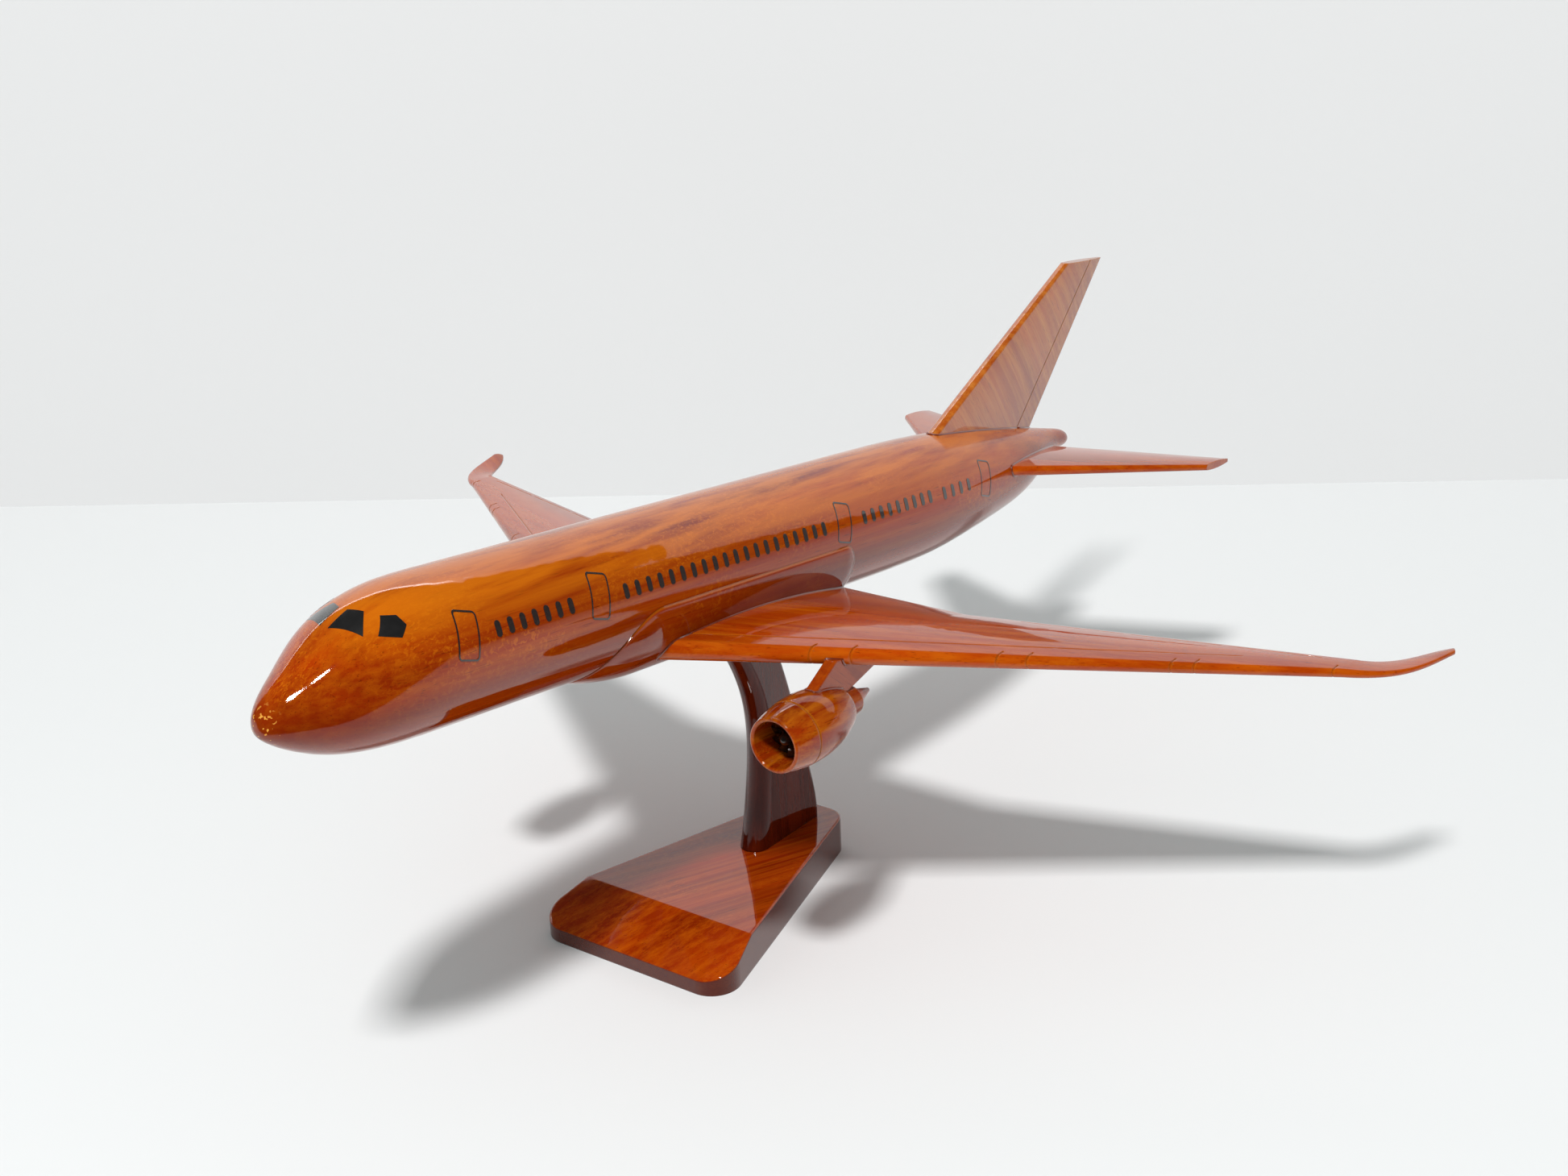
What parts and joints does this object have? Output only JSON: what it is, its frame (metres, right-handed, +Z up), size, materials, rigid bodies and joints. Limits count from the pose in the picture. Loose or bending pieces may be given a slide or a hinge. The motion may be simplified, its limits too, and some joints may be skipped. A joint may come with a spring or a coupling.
{
  "type": "desktop airliner model",
  "caption": "Carved and lacquered mahogany desk model of a twin-engined airliner, nose-up on a raked wooden stand with a tapered base.",
  "frame": {"origin": "on the table under the stand, at the middle of the model's overall length and on its centre plane", "axes": "+Z up, +Y aft towards the fin, +X towards the aircraft's port side"},
  "size_m": [0.3952, 0.425, 0.1681],
  "materials": {
    "fuselage_mahogany": "high-gloss clear lacquer over stained mahogany",
    "wing_mahogany": "high-gloss clear lacquer over stained mahogany",
    "engine_mahogany": "high-gloss clear lacquer over stained mahogany",
    "stand_mahogany": "high-gloss clear lacquer over dark stained mahogany",
    "dowel_birch": "plain glued dowel",
    "dark_transfer": "thin dark transfer under lacquer",
    "fan_paint": "dark brown lacquered sheet metal",
    "brad_brass": "plain drawn brass",
    "screw_steel": "zinc-plated steel"
  },
  "bodies": {
    "stand": {"stand_base": "stand_mahogany", "stand_column": "stand_mahogany", "column_screws": "screw_steel", "stand_peg": "dowel_birch"},
    "aircraft": {"fuselage": "fuselage_mahogany", "belly_fairing": "fuselage_mahogany", "fin": "wing_mahogany", "fin_dowels": "dowel_birch", "cockpit_windows": "dark_transfer", "wing_port": "wing_mahogany", "wing_starboard": "wing_mahogany", "wing_dowels_port": "dowel_birch", "wing_dowels_starboard": "dowel_birch", "pylon_port": "engine_mahogany", "pylon_starboard": "engine_mahogany", "pylon_brads_port": "brad_brass", "pylon_brads_starboard": "brad_brass", "stabiliser_port": "wing_mahogany", "stabiliser_starboard": "wing_mahogany", "stabiliser_dowels_port": "dowel_birch", "stabiliser_dowels_starboard": "dowel_birch", "cabin_windows_port": "dark_transfer", "cabin_windows_starboard": "dark_transfer", "door_outlines_port": "dark_transfer", "door_outlines_starboard": "dark_transfer", "nacelle_port": "engine_mahogany", "nacelle_starboard": "engine_mahogany", "core_nozzle_port": "engine_mahogany", "core_nozzle_starboard": "engine_mahogany", "exhaust_cone_port": "engine_mahogany", "exhaust_cone_starboard": "engine_mahogany", "fan_brad_port": "brad_brass", "fan_brad_starboard": "brad_brass"},
    "fan_port": {"fan_port": "fan_paint", "spinner_port": "fan_paint"},
    "fan_starboard": {"fan_starboard": "fan_paint", "spinner_starboard": "fan_paint"}
  },
  "joints": [
    {"name": "lift_off", "type": "slide", "parent": "stand", "child": "aircraft", "axis": [0, 0.1115, 0.9938], "range_m": [0, 0.03]},
    {"name": "fan_spin_port", "type": "hinge", "parent": "aircraft", "child": "fan_port", "pos_m": [0.0578, -0.07279, 0.08826], "axis": [0, 1, -0.007], "continuous": true},
    {"name": "fan_spin_starboard", "type": "hinge", "parent": "aircraft", "child": "fan_starboard", "pos_m": [-0.0578, -0.07279, 0.08826], "axis": [0, 1, -0.007], "continuous": true}
  ]
}
